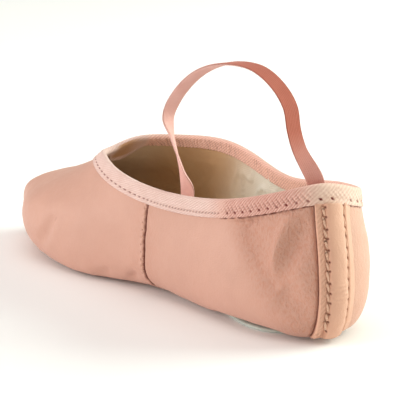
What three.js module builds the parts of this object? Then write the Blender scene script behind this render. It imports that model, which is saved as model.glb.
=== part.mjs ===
// A soft leather demi-pointe slipper, standing empty on its sole.
// Millimetres, +Z up, toe towards +X, the shoe's left side towards +Y.
import * as THREE from 'three';

// Gives each number of a table row the name of its column
function named(row, columns) {
  return Object.fromEntries(columns.map((name, k) => [name, row[k]]));
}

// Driving sizes
const WALL = 1.4;            // leather and lining together
const GAP = 0.3;             // clearance between sewn pieces
const SEAT_GAP = 0.4;        // clearance between the layers under the foot
const SOLE = 1.4;            // suede outsole
const SOCK = 1.0;            // insole sheet
const LAP = 7;               // how far the upper turns in past the edge of the outsole
const TAPE = 0.7;            // collar tape
const TAPE_GAP = 0.45;       // clearance between the tape and the leather it is folded over
const TAPE_OUT = 7.6;        // tape width outside the collar
const TAPE_IN = 6.0;         // tape width inside the collar
const STAY_WIDTH = 15;       // heel strip
const STAY_MIDDLE = 0.009;   // its middle, as a share of the way round
const STAY = 0.8;            // heel strip at its edges
const STAY_PUFF = 0.9;       // how much fuller the heel strip is in the middle
const SEAM_LEFT = 0.2345;    // side seams, as shares of the way round
const SEAM_RIGHT = 1 - SEAM_LEFT;
const SEAM_RISE = 0.5;       // gathered edge of the vamp beside the seam
const SEAM_SINK = 0.4;       // crevice of the seam
const SEAM_STEPS = [-1.6, 0, 0.5, 2.6, 5.2];   // millimetres from the crevice towards the toe
const ROUND_LENGTH = 530;    // about the way round the widest line
const ELASTIC = 1.0;
const ELASTIC_WIDTH = 6.5;
const ARCH_RISE = 1.0;
const TOE_SPRING = 3.8;
const HEEL_FLAT_END = 56;    // the sole lies flat behind this and between the next two
const BALL_FLAT_START = 124;
const BALL_FLAT_END = 186;
const TOE_TIP = 230;
const SPINE = [34, 192];     // the middle line that the lower edges turn in towards

// Fullness of the upper between its widest line and the collar
const RISE_SHARE = 0.48;
const LEVEL_SHARE = 0.4;
const LIFT_SHARE = 0.57;

// Mesh steps
const ROUND = 92;
const LOW_STEPS = 5;
const HIGH_STEPS = 9;

// One row per section from heel to toe: the widest line on the left and right side and its height, how
// far the upper rounds in below it, the edge of the outsole inside it, and the collar edge on both sides.
const SECTION_COLUMNS = [
  'x', 'left', 'right', 'wideZ', 'inset', 'soleIn', 'rimX', 'rimLeft', 'rimRight', 'rimLeftZ', 'rimRightZ'];
const SECTIONS = [
  [0, 3.5, 3.5, 25.5, 11.5, 19, 3.5, 3.5, 3.5, 62, 62],             // heel back
  [8.5, 19, -15.5, 24, 10, 17.5, 9.5, 15, -12, 61.5, 57],           // heel side
  [38, 26.5, -24.5, 21, 9.5, 8.4, 35, 22.5, -20, 54, 53.5],         // quarter
  [74, 27.5, -27, 19, 7.5, 15, 67, 25.5, -23, 48.5, 48.8],          // waist
  [111, 29.5, -31, 17, 9, 16, 98.5, 27, -28.5, 47.5, 50.8],         // shank
  [150, 36, -37, 15, 4, 14, 128, 24, -30, 49.3, 53.4],              // joint of the toes
  [189, 35, -31.5, 16, 11, 19, 150, 16, -21, 50.5, 53],             // forepart
  [217.5, 20, -16, 17, 11.5, 20.5, 159.5, 9.5, -8, 49.6, 52.8],     // toe side
  [TOE_TIP, 9.5, 9.5, 16, 11, 21, 162.5, 2, 2, 50, 50],             // toe tip
].map((row) => named(row, SECTION_COLUMNS));

// The elastic between its two sewn ends: its middle line, and the way its width points, in degrees from
// +X towards +Y
const ELASTIC_COLUMNS = ['x', 'y', 'z', 'turn'];
const ELASTIC_PATH = [
  [82, 18.2, 46.5, 200],
  [83.2, 19.8, 56, 160],
  [86.5, 21.5, 69, 140],
  [88, 22, 76, 105],
  [85, 21.5, 82.5, 86],
  [75, 20, 92.5, 78],
  [63.5, 18.5, 99, 76],
  [50, 16.5, 102.5, 80],
  [35, 14.5, 102, 85],
  [24.5, 13, 96.5, 87],
  [19, 12, 89.5, 89],
  [17, 12, 81, 92],
  [14.5, 11.5, 74, 90],
].map((row) => named(row, ELASTIC_COLUMNS));
// Its sewn ends: where they are round the shoe, and for each row the length below the collar's top and how
// far it stands off the lining, in thicknesses of the folded tape
const ELASTIC_FRONT = { u: 0.2035, rows: [[20, 0], [13, 0]] };
const ELASTIC_BACK = { u: 0.0375, rows: [[19, 0.3], [12, 0.4], [5.5, 1.5], [0, 1.5]] };

// Small helpers
const clamp = (value, low, high) => Math.min(high, Math.max(low, value));
const ease = (t) => t * t * (3 - 2 * t);
const mix = (a, b, t) => a + (b - a) * t;

// Smooth closed curve through evenly spaced values
function loopCurve(values) {
  const n = values.length;
  const bend = new Array(n).fill(0);
  for (let sweep = 0; sweep < 40; sweep++) {
    for (let k = 0; k < n; k++) {
      const before = (k + n - 1) % n;
      const after = (k + 1) % n;
      const turn = 6 * (values[before] - 2 * values[k] + values[after]);
      bend[k] = (turn - bend[before] - bend[after]) / 4;
    }
  }
  return (u) => {
    const at = (u - Math.floor(u)) * n;
    const k = Math.floor(at) % n;
    const next = (k + 1) % n;
    const t = at - Math.floor(at);
    const s = 1 - t;
    return s * values[k] + t * values[next] + ((s ** 3 - s) * bend[k] + (t ** 3 - t) * bend[next]) / 6;
  };
}

// The sections become closed curves: along the left side from heel to toe, then back along the right side
function around(left, right) {
  const there = SECTIONS.map((row) => row[left]);
  const back = SECTIONS.slice(1, -1).reverse().map((row) => row[right]);
  return loopCurve([...there, ...back]);
}
const wideX = around('x', 'x');
const wideY = around('left', 'right');
const wideZ = around('wideZ', 'wideZ');
const insetAt = around('inset', 'inset');
const soleInsetAt = around('soleIn', 'soleIn');
const rimX = around('rimX', 'rimX');
const rimY = around('rimLeft', 'rimRight');
const rimZ = around('rimLeftZ', 'rimRightZ');

// Height of the underside of the sole: flat heel and ball, a low arch between them, and a sprung toe
function groundZ(x) {
  if (x <= HEEL_FLAT_END) return 0;
  if (x < BALL_FLAT_START) {
    const t = (x - HEEL_FLAT_END) / (BALL_FLAT_START - HEEL_FLAT_END);
    return ARCH_RISE * Math.sin(Math.PI * t) ** 2;
  }
  if (x <= BALL_FLAT_END) return 0;
  return TOE_SPRING * ((x - BALL_FLAT_END) / (TOE_TIP - BALL_FLAT_END)) ** 2;
}

// A point at a given distance inside the widest line, at a height above the underside of the sole
function insidePoint(u, inset, height) {
  const x = wideX(u);
  const y = wideY(u);
  const toX = clamp(x, SPINE[0], SPINE[1]) - x;
  const toY = -y;
  const reach = Math.hypot(toX, toY);
  const px = x + toX * inset / reach;
  const py = y + toY * inset / reach;
  return new THREE.Vector3(px, py, groundZ(px) + height);
}

// Outer face of the upper without thickness. level runs from -2 at the turned-in edge and -1 where the
// rounding starts, over 0 at the widest line, to 1 at the top of the collar.
function facePoint(u, level) {
  const wide = new THREE.Vector3(wideX(u), wideY(u), wideZ(u));
  const inset = insetAt(u);
  if (level <= -1) {
    const turned = Math.max(soleInsetAt(u) + LAP, inset + 2);
    return insidePoint(u, mix(inset, turned, -1 - level), SOLE + SEAT_GAP);
  }
  if (level < 0) {
    const feather = insidePoint(u, inset, SOLE + SEAT_GAP);
    const angle = (1 + level) * Math.PI / 2;
    const out = Math.sin(angle);
    const up = 1 - Math.cos(angle);
    return new THREE.Vector3(
      mix(feather.x, wide.x, out), mix(feather.y, wide.y, out), mix(feather.z, wide.z, up));
  }
  const rim = new THREE.Vector3(rimX(u), rimY(u), rimZ(u));
  const rise = rim.z - wide.z;
  const above = wide.clone().setZ(wide.z + RISE_SHARE * rise);
  const below = new THREE.Vector3(
    mix(rim.x, wide.x, LEVEL_SHARE), mix(rim.y, wide.y, LEVEL_SHARE),
    rim.z - LIFT_SHARE * rise);
  return new THREE.CubicBezierCurve3(wide, above, below, rim).getPoint(level);
}

// Way out of the upper's face
function faceNormal(u, level) {
  const step = 0.002;
  const alongRound = facePoint(u + step, level).sub(facePoint(u - step, level));
  const low = Math.max(level - step, -2);
  const high = Math.min(level + step, 1);
  const alongUp = facePoint(u, high).sub(facePoint(u, low));
  return alongUp.cross(alongRound).normalize();
}

function offsetPoint(u, level, out) {
  return facePoint(u, level).addScaledVector(faceNormal(u, level), out);
}

// The level that lies a given length of leather below the collar's top
function levelBelow(u, length) {
  const steps = 60;
  let last = facePoint(u, 1);
  let gone = 0;
  for (let k = 1; k <= steps; k++) {
    const next = facePoint(u, 1 - k / steps);
    const piece = next.distanceTo(last);
    if (gone + piece >= length) return 1 - (k - 1 + (length - gone) / piece) / steps;
    gone += piece;
    last = next;
  }
  return 0;
}

// Height of the face beside a side seam: the vamp's edge stands up, then drops into the crevice
function seamRelief(u) {
  const fromLeft = (u - SEAM_LEFT) * ROUND_LENGTH;
  const fromRight = (SEAM_RIGHT - u) * ROUND_LENGTH;
  const from = Math.abs(fromLeft) < Math.abs(fromRight) ? fromLeft : fromRight;
  const [start, crevice, edge, , end] = SEAM_STEPS;
  if (from <= start || from >= end) return 0;
  if (from <= crevice) return -SEAM_SINK * (from - start) / (crevice - start);
  if (from <= edge) return mix(-SEAM_SINK, SEAM_RISE, (from - crevice) / (edge - crevice));
  return SEAM_RISE * (1 - ease((from - edge) / (end - edge)));
}

// Places round the shoe where the meshes have a column, closer at the side seams
function roundColumns() {
  const even = Array.from({ length: ROUND }, (_, k) => k / ROUND);
  const shares = SEAM_STEPS.map((from) => from / ROUND_LENGTH);
  const seams = shares.flatMap((share) => [SEAM_LEFT + share, SEAM_RIGHT - share]);
  const clear = even.filter((u) => seams.every((s) => Math.abs(u - s) > 0.0035));
  return [...clear, ...seams].sort((a, b) => a - b);
}
const ROUND_COLUMNS = roundColumns();

// Closed solid from loops of points. A ring joins its last loop to its first, a bar is capped at its ends.
function solidFromLoops(loops, ring) {
  const size = loops[0].length;
  const positions = loops.flat().flatMap((p) => [p.x, p.y, p.z]);
  const faces = [];
  const last = ring ? loops.length : loops.length - 1;
  for (let c = 0; c < last; c++) {
    const here = c * size;
    const there = ((c + 1) % loops.length) * size;
    for (let k = 0; k < size; k++) {
      const next = (k + 1) % size;
      faces.push(here + k, there + k, there + next, here + k, there + next, here + next);
    }
  }
  if (!ring) {
    const end = (loops.length - 1) * size;
    for (let k = 0; k < size / 2 - 1; k++) {
      const far = size - 1 - k;
      faces.push(k, k + 1, far - 1, k, far - 1, far);
      faces.push(end + k, end + far - 1, end + k + 1, end + k, end + far, end + far - 1);
    }
  }
  const geometry = new THREE.BufferGeometry();
  geometry.setAttribute('position', new THREE.Float32BufferAttribute(positions, 3));
  geometry.setIndex(signedVolume(positions, faces) < 0 ? faces.reverse() : faces);
  geometry.computeVertexNormals();
  return geometry;
}

function signedVolume(positions, faces) {
  const corner = (k) => new THREE.Vector3().fromArray(positions, 3 * faces[k]);
  let sum = 0;
  for (let k = 0; k < faces.length; k += 3) sum += corner(k).dot(corner(k + 1).cross(corner(k + 2)));
  return sum / 6;
}

// Leather wall: up the outside from the turned-in edge to the collar, and down the inside
function upperGeometry() {
  const section = (u) => {
    const top = levelBelow(u, TAPE_GAP + TAPE);
    const levels = [-2];
    for (let k = 0; k < LOW_STEPS; k++) levels.push(-1 + k / LOW_STEPS);
    for (let k = 0; k <= HIGH_STEPS; k++) levels.push(top * k / HIGH_STEPS);
    const relief = seamRelief(u);
    const seamTop = levelBelow(u, TAPE_OUT + 1);
    const shown = (level) => level >= -1 && level < seamTop;
    const outside = levels.map((level) => offsetPoint(u, level, shown(level) ? relief : 0));
    const inside = levels.map((level) => offsetPoint(u, level, -WALL)).reverse();
    return [...outside, ...inside];
  };
  return solidFromLoops(ROUND_COLUMNS.map(section), true);
}

// Tape folded over the collar edge, wider outside than inside
function bindingGeometry() {
  const outFace = TAPE_GAP + TAPE;
  const inFace = -WALL - TAPE_GAP - TAPE;
  const section = (u) => {
    const at = (length, out) => offsetPoint(u, levelBelow(u, length), out);
    return [
      at(TAPE_OUT, outFace), at(TAPE_OUT / 2, outFace), at(1.2, outFace), at(0.2, TAPE_GAP),
      at(0.2, -WALL - TAPE_GAP), at(1.2, inFace), at(TAPE_IN, inFace), at(TAPE_IN, -WALL - TAPE_GAP),
      at(TAPE, -WALL - TAPE_GAP), at(TAPE, TAPE_GAP), at(TAPE_OUT / 2, TAPE_GAP), at(TAPE_OUT, TAPE_GAP),
    ];
  };
  return solidFromLoops(ROUND_COLUMNS.map(section), true);
}

// Heel strip from the tape down to where the heel turns under, fuller along its middle
function backstayGeometry() {
  const across = 8;
  const rows = 12;
  const bottom = -0.72;
  const loops = [];
  const step = 0.01;
  for (let r = 0; r <= rows; r++) {
    const outside = [];
    const inside = [];
    const height = mix(bottom, levelBelow(STAY_MIDDLE, TAPE_OUT + GAP), r / rows);
    const span = facePoint(STAY_MIDDLE + step, height).distanceTo(facePoint(STAY_MIDDLE - step, height));
    const half = STAY_WIDTH * step / span;
    for (let c = 0; c <= across; c++) {
      const side = 2 * c / across - 1;
      const u = STAY_MIDDLE + side * half;
      const level = mix(bottom, levelBelow(u, TAPE_OUT + GAP), r / rows);
      const puff = STAY_PUFF * (1 - side * side);
      outside.push(offsetPoint(u, level, GAP + STAY + puff));
      inside.push(offsetPoint(u, level, GAP));
    }
    loops.push([...outside, ...inside.reverse()]);
  }
  return solidFromLoops(loops, false);
}

// Sheet under or inside the foot, ribbed from its left edge to its right edge
function sheetGeometry(insetOf, low, thickness) {
  const half = 54;
  const loops = [];
  for (let k = 1; k < half; k++) {
    const u = 0.5 * k / half;
    const left = insidePoint(u, insetOf(u), low);
    const right = insidePoint(1 - u, insetOf(1 - u), low);
    const middle = left.clone().lerp(right, 0.5);
    middle.z = groundZ(middle.x) + low;
    const bottom = [left, middle, right];
    const top = bottom.map((p) => p.clone().setZ(p.z + thickness)).reverse();
    loops.push([...bottom, ...top]);
  }
  return solidFromLoops(loops, false);
}

// Flat elastic from its sewn end at the left side, over its loop, to its sewn end at the heel
function elasticGeometry() {
  const steps = 56;
  const hollow = 0.55;   // the wall curves away behind the flat elastic
  const rest = -WALL - GAP - hollow - ELASTIC / 2;
  const sewnEnd = (end) => end.rows.map(([length, tapes]) => {
    const level = levelBelow(end.u, length);
    const along = facePoint(end.u + 0.004, level).sub(facePoint(end.u - 0.004, level)).normalize();
    return { at: offsetPoint(end.u, level, rest - tapes * (TAPE_GAP + TAPE)), along };
  });
  const free = ELASTIC_PATH.map((row) => {
    const turn = THREE.MathUtils.degToRad(row.turn);
    const at = new THREE.Vector3(row.x, row.y, row.z);
    const along = new THREE.Vector3(Math.cos(turn), Math.sin(turn), 0);
    return { at, along };
  });
  const front = sewnEnd(ELASTIC_FRONT);
  const back = sewnEnd(ELASTIC_BACK).reverse();
  for (const row of front) if (row.along.dot(free[0].along) < 0) row.along.negate();
  for (const row of back) if (row.along.dot(free.at(-1).along) < 0) row.along.negate();
  const rows = [...front, ...free, ...back];
  const middle = new THREE.CatmullRomCurve3(rows.map((row) => row.at), false, 'centripetal');
  const ways = new THREE.CatmullRomCurve3(rows.map((row) => row.along), false, 'centripetal');
  const loops = [];
  for (let k = 0; k <= steps; k++) {
    const t = k / steps;
    const at = middle.getPoint(t);
    const tangent = middle.getTangent(t);
    const way = ways.getPoint(t);
    way.addScaledVector(tangent, -way.dot(tangent)).normalize();
    const flat = tangent.clone().cross(way).normalize();
    const halfWidth = way.multiplyScalar(ELASTIC_WIDTH / 2);
    const halfThick = flat.multiplyScalar(ELASTIC / 2);
    const edge = (side) => at.clone().addScaledVector(halfWidth, side);
    loops.push([
      edge(-1).sub(halfThick), edge(1).sub(halfThick), edge(1).add(halfThick), edge(-1).add(halfThick)]);
  }
  return solidFromLoops(loops, false);
}

const leather = new THREE.MeshStandardMaterial({ color: 0xe0af9c, roughness: 0.55, metalness: 0 });
const stripLeather = new THREE.MeshStandardMaterial({ color: 0xe1af92, roughness: 0.55, metalness: 0 });
const suede = new THREE.MeshStandardMaterial({ color: 0xb7b7ae, roughness: 0.95, metalness: 0 });
const sockCloth = new THREE.MeshStandardMaterial({ color: 0xd5c3af, roughness: 0.95, metalness: 0 });
const cottonTape = new THREE.MeshStandardMaterial({ color: 0xeac9bc, roughness: 0.9, metalness: 0 });
const elasticWeave = new THREE.MeshStandardMaterial({ color: 0xe1b3a7, roughness: 0.85, metalness: 0 });

function piece(name, geometry, material) {
  const mesh = new THREE.Mesh(geometry, material);
  mesh.name = name;
  return mesh;
}

const SOCK_HEIGHT = SOLE + SEAT_GAP + WALL + SEAT_GAP;
const shoe = new THREE.Group();
shoe.add(piece('upper', upperGeometry(), leather));
shoe.add(piece('outsole', sheetGeometry(soleInsetAt, 0, SOLE), suede));
shoe.add(piece('insole', sheetGeometry(insetAt, SOCK_HEIGHT, SOCK), sockCloth));
shoe.add(piece('collar_binding', bindingGeometry(), cottonTape));
shoe.add(piece('backstay', backstayGeometry(), stripLeather));
shoe.add(piece('elastic_strap', elasticGeometry(), elasticWeave));

// The origin is under the middle of the shoe
const box = new THREE.Box3().setFromObject(shoe);
shoe.position.set(-(box.min.x + box.max.x) / 2, -(box.min.y + box.max.y) / 2, -box.min.z);
shoe.updateMatrixWorld(true);

export default shoe;
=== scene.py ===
"""Looks of a soft leather demi-pointe slipper: leather, lining, tape, stitches, suede and elastic.

Sizes are in millimetres in the shoe's own frame: x runs from the back of the heel to the toe, y to the
shoe's left and z up from the floor. Points are moved into the model's frame, in metres, when a mesh is made.
A place on the upper is a pair (u, level): u runs from 0 at the heel along the left side to 0.5 at the toe
and back along the right side to 1, and level from -2 at the turned-in edge to 1 at the top of the collar.
"""
import math

import bpy
import bmesh
import numpy as np
from mathutils import Matrix, Vector


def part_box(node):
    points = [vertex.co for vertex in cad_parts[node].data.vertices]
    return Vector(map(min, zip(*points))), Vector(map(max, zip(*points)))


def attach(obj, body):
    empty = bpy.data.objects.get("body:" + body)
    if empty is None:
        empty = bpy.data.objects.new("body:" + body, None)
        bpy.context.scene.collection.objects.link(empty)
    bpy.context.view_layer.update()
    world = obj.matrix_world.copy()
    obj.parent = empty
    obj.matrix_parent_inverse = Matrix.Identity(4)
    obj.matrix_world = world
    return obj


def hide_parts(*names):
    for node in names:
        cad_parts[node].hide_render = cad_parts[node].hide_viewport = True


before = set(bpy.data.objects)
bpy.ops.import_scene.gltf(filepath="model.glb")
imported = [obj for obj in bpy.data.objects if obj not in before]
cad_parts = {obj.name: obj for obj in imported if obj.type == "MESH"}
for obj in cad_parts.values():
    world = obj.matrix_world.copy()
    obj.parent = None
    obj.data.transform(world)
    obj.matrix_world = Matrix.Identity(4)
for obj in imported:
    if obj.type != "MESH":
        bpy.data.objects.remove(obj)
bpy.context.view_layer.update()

# Driving sizes, as in the model
MM = 0.001
WALL = 1.4                # leather and lining together
SEAT_GAP = 0.4            # clearance between the layers under the foot
SOLE = 1.4
SOCK = 1.0
LAP = 7.0                 # how far the upper turns in past the edge of the outsole
TAPE_OUT = 7.6            # tape width outside the collar
TAPE_IN = 6.0             # tape width inside the collar
STAY_WIDTH = 15.0         # heel strip
STAY_MIDDLE = 0.009       # its middle, as a share of the way round
ARCH_RISE = 1.0
TOE_SPRING = 3.8
HEEL_FLAT_END = 56.0
BALL_FLAT_START = 124.0
BALL_FLAT_END = 186.0
TOE_TIP = 230.0
SPINE = (34.0, 192.0)     # the middle line that the lower edges turn in towards
RISE_SHARE = 0.48         # fullness of the upper between its widest line and the collar
LEVEL_SHARE = 0.4
LIFT_SHARE = 0.57

# One row per section from heel to toe: the widest line on both sides and its height, how far the upper
# rounds in below it, the edge of the outsole inside it, and the collar edge on both sides
SECTION_COLUMNS = ("x", "left", "right", "wide_z", "inset", "sole_in",
                   "rim_x", "rim_left", "rim_right", "rim_left_z", "rim_right_z")
SECTIONS = (
    (0, 3.5, 3.5, 25.5, 11.5, 19, 3.5, 3.5, 3.5, 62, 62),
    (8.5, 19, -15.5, 24, 10, 17.5, 9.5, 15, -12, 61.5, 57),
    (38, 26.5, -24.5, 21, 9.5, 8.4, 35, 22.5, -20, 54, 53.5),
    (74, 27.5, -27, 19, 7.5, 15, 67, 25.5, -23, 48.5, 48.8),
    (111, 29.5, -31, 17, 9, 16, 98.5, 27, -28.5, 47.5, 50.8),
    (150, 36, -37, 15, 4, 14, 128, 24, -30, 49.3, 53.4),
    (189, 35, -31.5, 16, 11, 19, 150, 16, -21, 50.5, 53),
    (217.5, 20, -16, 17, 11.5, 20.5, 159.5, 9.5, -8, 49.6, 52.8),
    (TOE_TIP, 9.5, 9.5, 16, 11, 21, 162.5, 2, 2, 50, 50),
)

# Layers of the sewn pieces
LEATHER = 0.9             # leather alone
LEATHER_TOP = 1.0         # its edge, and the lining's, below the top of the collar
LINING_TOP = 1.6
TAPE = 0.6                # tape as it lies on the leather
TAPE_LIFT = 0.1

# Curves and lengths
TURN = 2 * np.pi


def smooth(t):
    t = np.clip(t, 0.0, 1.0)
    return t * t * (3 - 2 * t)


def ramp(value, zero, one):
    """Rises smoothly from 0 where the value is at or before zero to 1 where it is at or past one."""
    return smooth((value - zero) / (one - zero))


def bell(distance, width, power=2):
    """1 in the middle, falling away smoothly over about a width to both sides."""
    return np.exp(-(distance / width) ** power)


def sums(steps):
    return np.concatenate([[0], np.cumsum(steps)])


def step_lengths(points):
    return np.linalg.norm(np.diff(points, axis=0), axis=1)


def closed(points):
    return np.append(points, points[:1], axis=0)


def unit(vectors):
    return vectors / np.maximum(np.linalg.norm(vectors, axis=-1, keepdims=True), 1e-12)


def round_edge(side, start, least=0.0):
    """Thickness across a strip from -1 to 1: full in the middle, and rounded off past a share of it."""
    past = np.clip((np.abs(side) - start) / (1 - start), 0, 1)
    return np.sqrt(np.clip(1 - past ** 2, least, 1))


# Shape of the upper
def loop_curve(values):
    """Smooth closed curve through evenly spaced values."""
    values = np.asarray(values, float)
    count = len(values)
    ring = np.eye(count)
    weights = 4 * ring + np.roll(ring, 1, 0) + np.roll(ring, -1, 0)
    bend = np.linalg.solve(weights, 6 * (np.roll(values, 1) - 2 * values + np.roll(values, -1)))

    def curve(u):
        at = np.mod(u, 1.0) * count
        here = np.floor(at).astype(int) % count
        after = (here + 1) % count
        t = at - np.floor(at)
        s = 1 - t
        bulge = (s ** 3 - s) * bend[here] + (t ** 3 - t) * bend[after]
        return s * values[here] + t * values[after] + bulge / 6

    return curve


def around(left, right):
    """A closed curve along the left side from heel to toe, then back along the right side."""
    there = [row[SECTION_COLUMNS.index(left)] for row in SECTIONS]
    back = [row[SECTION_COLUMNS.index(right)] for row in SECTIONS[-2:0:-1]]
    return loop_curve(there + back)


wide_x = around("x", "x")
wide_y = around("left", "right")
wide_z = around("wide_z", "wide_z")
inset_at = around("inset", "inset")
sole_inset_at = around("sole_in", "sole_in")
rim_x = around("rim_x", "rim_x")
rim_y = around("rim_left", "rim_right")
rim_z = around("rim_left_z", "rim_right_z")


def ground_z(x):
    """Height of the underside of the sole: flat heel and ball, a low arch between, and a sprung toe."""
    waist = np.clip((x - HEEL_FLAT_END) / (BALL_FLAT_START - HEEL_FLAT_END), 0, 1)
    toe = np.clip((x - BALL_FLAT_END) / (TOE_TIP - BALL_FLAT_END), 0, None)
    return ARCH_RISE * np.sin(np.pi * waist) ** 2 + TOE_SPRING * toe ** 2


def to_spine(u):
    """The way in from the widest line to the middle line, along x and y."""
    x = wide_x(u)
    return np.clip(x, *SPINE) - x, -wide_y(u)


def inside_point(u, inset, height):
    """Points at a distance inside the widest line, at a height above the underside of the sole."""
    to_x, to_y = to_spine(u)
    share = inset / np.hypot(to_x, to_y)
    x = wide_x(u) + to_x * share
    y = wide_y(u) + to_y * share
    return np.stack([x, y, ground_z(x) + height], -1)


def face(u, level):
    """Outer face of the upper: level -2 turned-in edge, -1 underside, 0 widest line, 1 top of the collar."""
    u, level = np.broadcast_arrays(np.asarray(u, float), np.asarray(level, float))
    wide = np.stack([wide_x(u), wide_y(u), wide_z(u)], -1)
    inset = inset_at(u)
    turned = np.maximum(sole_inset_at(u) + LAP, inset + 2)
    under = inside_point(u, inset + (turned - inset) * np.clip(-1 - level, 0, 1), SOLE + SEAT_GAP)
    feather = inside_point(u, inset, SOLE + SEAT_GAP)
    angle = np.clip(1 + level, 0, 1) * np.pi / 2
    out = np.sin(angle)
    share = np.stack([out, out, 1 - np.cos(angle)], -1)
    low = feather + (wide - feather) * share
    rim = np.stack([rim_x(u), rim_y(u), rim_z(u)], -1)
    rise = rim[..., 2] - wide[..., 2]
    above = wide.copy()
    above[..., 2] += RISE_SHARE * rise
    below = rim + (wide - rim) * LEVEL_SHARE
    below[..., 2] = rim[..., 2] - LIFT_SHARE * rise
    t = np.clip(level, 0, None)[..., None]
    s = 1 - t
    high = s ** 3 * wide + 3 * s * s * t * above + 3 * s * t * t * below + t ** 3 * rim
    level = level[..., None]
    return np.where(level <= -1, under, np.where(level < 0, low, high))


def face_normal(u, level):
    step = 0.002
    round_way = face(u + step, level) - face(u - step, level)
    up_way = face(u, np.minimum(level + step, 1)) - face(u, np.maximum(level - step, -2))
    return unit(np.cross(up_way, round_way))


def offset_face(u, level, out):
    u, level, out = np.broadcast_arrays(u, level, out)
    return face(u, level) + face_normal(u, level) * out[..., None]


def levels_below(u, lengths):
    """For each place round the shoe, the levels that lie these lengths of leather below the collar's top."""
    u = np.ravel(u)
    t = np.linspace(1, 0, 161)
    points = face(u[:, None], t[None, :])
    lengths = np.broadcast_to(lengths, (len(u), np.shape(lengths)[-1]))
    return np.stack([np.interp(lengths[k], sums(step_lengths(points[k])), t) for k in range(len(u))])


# Meshes
side_line = wide_y(np.linspace(0, 1, 2001))
SHOE_ORIGIN = np.array([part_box("upper")[1][0] / MM - TOE_TIP, -(side_line.min() + side_line.max()) / 2, 0.0])


def place(points):
    return (np.asarray(points) + SHOE_ORIGIN) * MM


def add_object(name, data):
    item = bpy.data.objects.new(name, data)
    bpy.context.scene.collection.objects.link(item)
    return item


def add_piece(mesh, material, replaces=None):
    piece = add_object(mesh.name, mesh)
    mesh.materials.append(material)
    mesh.polygons.foreach_set("use_smooth", np.ones(len(mesh.polygons), bool))
    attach(piece, "root")
    if replaces:
        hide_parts(replaces)


def grid_quads(columns, rows, ring, tube):
    """Corners of each quad in a grid of points, and the grid lines that it starts from."""
    i, j = np.meshgrid(np.arange(columns if ring else columns - 1), np.arange(rows if tube else rows - 1),
                       indexing="ij")
    i_next = (i + 1) % columns
    j_next = (j + 1) % rows
    corners = [i * rows + j, i_next * rows + j, i_next * rows + j_next, i * rows + j_next]
    return np.stack(corners, -1).reshape(-1, 4), i.ravel(), j.ravel()


def end_caps(columns, rows, flipped):
    """Flat faces that close the two ends of a tube, turned as its quads are."""
    start = np.arange(rows)
    end = start + (columns - 1) * rows
    caps = (start[::-1], end) if flipped else (start, end[::-1])
    return [cap.tolist() for cap in caps]


def signed_volume(points, quads):
    a, b, c, d = (points[quads[:, k]] for k in range(4))
    return np.sum(np.cross(a, b) * c) + np.sum(np.cross(a, c) * d)


def grid_mesh(name, points, ring, tube=True, uv=None, values=None):
    """Mesh of a grid of points: a ring closes on itself lengthwise, a tube across; open tubes get end caps.

    uv gives the lengths round and across at each grid line, with one more line where the grid closes.
    values are named numbers for each point or each grid line, which the materials read.
    """
    columns, rows = points.shape[:2]
    quads, i, j = grid_quads(columns, rows, ring, tube)
    flat = place(points).reshape(-1, 3)
    flipped = signed_volume(flat, quads) < 0
    order = -1 if flipped else 1
    faces = quads[:, ::order].tolist()
    if tube and not ring:
        faces += end_caps(columns, rows, flipped)
    mesh = bpy.data.meshes.new(name)
    mesh.from_pydata(flat.tolist(), [], faces)
    if uv is not None:
        along, across = uv
        corner_i = np.stack([i, i + 1, i + 1, i], -1)[:, ::order]
        corner_j = np.stack([j, j, j + 1, j + 1], -1)[:, ::order]
        places = np.zeros((len(mesh.loops), 2))
        places[:corner_i.size, 0] = along[corner_i.ravel()]
        places[:corner_i.size, 1] = across[corner_j.ravel()]
        mesh.uv_layers.new(name="cloth").data.foreach_set("uv", places.ravel().astype(np.float32))
    for key, numbers in (values or {}).items():
        layer = mesh.attributes.new(key, "FLOAT", "POINT")
        spread = np.broadcast_to(numbers, (columns, rows))
        layer.data.foreach_set("value", spread.astype(np.float32).ravel())
    mesh.update()
    return mesh


def merge_mesh(mesh, distance=0.00002):
    """Joins points that lie on each other and drops faces that have no area."""
    work = bmesh.new()
    work.from_mesh(mesh)
    bmesh.ops.remove_doubles(work, verts=work.verts, dist=distance)
    bmesh.ops.dissolve_degenerate(work, edges=work.edges, dist=distance / 2)
    work.to_mesh(mesh)
    work.free()
    mesh.update()


# Fine forms
def path_on_face(path, count=48):
    """Points along a line drawn on the upper, given as (u, level) places."""
    t = np.linspace(0, len(path) - 1, count)
    u, level = (np.interp(t, np.arange(len(path)), values) for values in zip(*path))
    return face(u, level)


def distance_to(points, line):
    """Each point's distance to a line of points, and how far along the line that is, from 0 to 1."""
    best = np.full(points.shape[:2], np.inf)
    where = np.zeros(points.shape[:2])
    for k, at in enumerate(line):
        distance = np.linalg.norm(points - at, axis=-1)
        closer = distance < best
        best[closer] = distance[closer]
        where[closer] = k / (len(line) - 1)
    return best, where


def soft_noise(points, wavelength, seed, waves=14):
    """Smooth irregular numbers of about -1 to 1 that change over a wavelength."""
    random = np.random.default_rng(seed)
    total = np.zeros(points.shape[:-1])
    for _ in range(waves):
        way = unit(random.normal(size=3)) * random.uniform(0.7, 1.4) * TURN / wavelength
        total += np.sin(points @ way + random.uniform(0, TURN))
    return total / math.sqrt(waves)


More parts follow.
